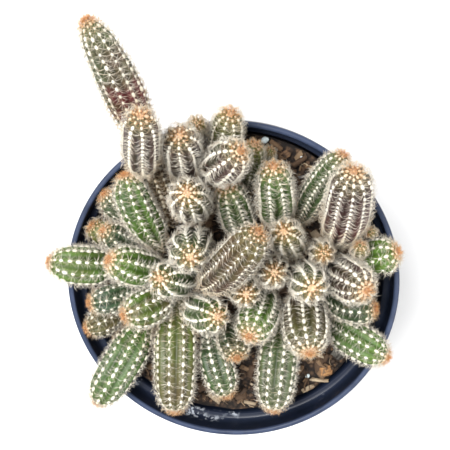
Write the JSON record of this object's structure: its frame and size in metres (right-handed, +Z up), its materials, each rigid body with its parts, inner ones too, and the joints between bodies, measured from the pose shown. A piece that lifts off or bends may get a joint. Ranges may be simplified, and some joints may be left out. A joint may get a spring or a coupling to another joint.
{
  "type": "potted peanut cactus",
  "caption": "Peanut cactus in a small dark plastic nursery pot: a crowded clump of ribbed, spiny, finger-thick stems with rusty tips, one long stem reaching out over the rim.",
  "frame": {"origin": "centre of the flat pad under the pot, on the surface that the pot stands on", "axes": "+Z straight up along the pot's axis, +Y towards the side where the long stem leans out, +X to the right of that"},
  "size_m": [0.1112, 0.1407, 0.1404],
  "materials": {
    "pot_plastic": "thin moulded plastic, blue-black, satin, with a paler worn rim edge and dried water marks inside",
    "soil_mix": "loose brown mix of peat, bark crumbs, wood chips and grit",
    "skin_maroon": "sun-reddened fleshy skin between rows of white woolly spine pads, under a coat of fine cream spines with rusty ones at the tip",
    "skin_olive": "olive brown fleshy skin between rows of white woolly spine pads, under a coat of fine cream spines with rusty ones at the tip",
    "skin_yellow_green": "young yellow green fleshy skin between rows of white woolly spine pads, under a coat of fine cream spines with rusty ones at the tip",
    "skin_bright_green": "bright green fleshy skin between rows of white woolly spine pads, under a coat of fine cream spines with rusty ones at the tip",
    "skin_grey_green": "grey green fleshy skin between rows of white woolly spine pads, under a coat of fine cream spines with rusty ones at the tip",
    "skin_dark_green": "dark green fleshy skin between rows of white woolly spine pads, under a coat of fine cream spines with rusty ones at the tip",
    "skin_teal_green": "bluish green fleshy skin between rows of white woolly spine pads, under a coat of fine cream spines with rusty ones at the tip",
    "perlite": "white foamed mineral bead, pitted",
    "pale_wood": "split pale wood, fibrous",
    "bark": "rough brown bark",
    "grey_twig": "weathered grey twig",
    "orange_bark": "orange brown bark chip",
    "dark_bark": "flat dark bark flake"
  },
  "bodies": {
    "root": {"pot": "pot_plastic", "soil": "soil_mix", "stem_long": "skin_maroon", "stem_back_1": "skin_olive", "stem_back_2": "skin_maroon", "stem_back_3": "skin_olive", "stem_back_4": "skin_yellow_green", "stem_back_5": "skin_yellow_green", "stem_back_6": "skin_yellow_green", "stem_back_7": "skin_bright_green", "stem_back_8": "skin_bright_green", "stem_crown_1": "skin_grey_green", "stem_crown_2": "skin_olive", "stem_crown_3": "skin_olive", "stem_crown_4": "skin_grey_green", "stem_crown_5": "skin_grey_green", "stem_crown_6": "skin_grey_green", "stem_crown_7": "skin_grey_green", "stem_crown_8": "skin_bright_green", "stem_crown_9": "skin_bright_green", "stem_right_1": "skin_bright_green", "stem_right_2": "skin_maroon", "stem_right_3": "skin_bright_green", "stem_right_4": "skin_maroon", "stem_right_5": "skin_dark_green", "stem_right_6": "skin_bright_green", "stem_front_1": "skin_bright_green", "stem_front_2": "skin_olive", "stem_front_3": "skin_grey_green", "stem_front_4": "skin_dark_green", "stem_front_5": "skin_bright_green", "stem_front_6": "skin_olive", "stem_front_7": "skin_bright_green", "stem_left_1": "skin_olive", "stem_left_2": "skin_teal_green", "stem_left_3": "skin_bright_green", "stem_left_4": "skin_bright_green", "stem_left_5": "skin_bright_green", "stem_left_6": "skin_teal_green", "stem_left_7": "skin_yellow_green", "stem_left_8": "skin_teal_green", "stem_left_9": "skin_bright_green", "pup_right_1": "skin_yellow_green", "pup_right_2": "skin_yellow_green", "pup_right_3": "skin_yellow_green", "pup_back": "skin_yellow_green", "perlite_bead": "perlite", "perlite_grain_back": "perlite", "perlite_grain_front": "perlite", "wood_sliver_back": "pale_wood", "bark_chip_back": "bark", "grey_twig_back": "grey_twig", "bark_chip_front": "orange_bark", "wood_stick_front": "pale_wood", "wood_sliver_front": "pale_wood", "bark_flake_front": "dark_bark"}
  },
  "joints": []
}
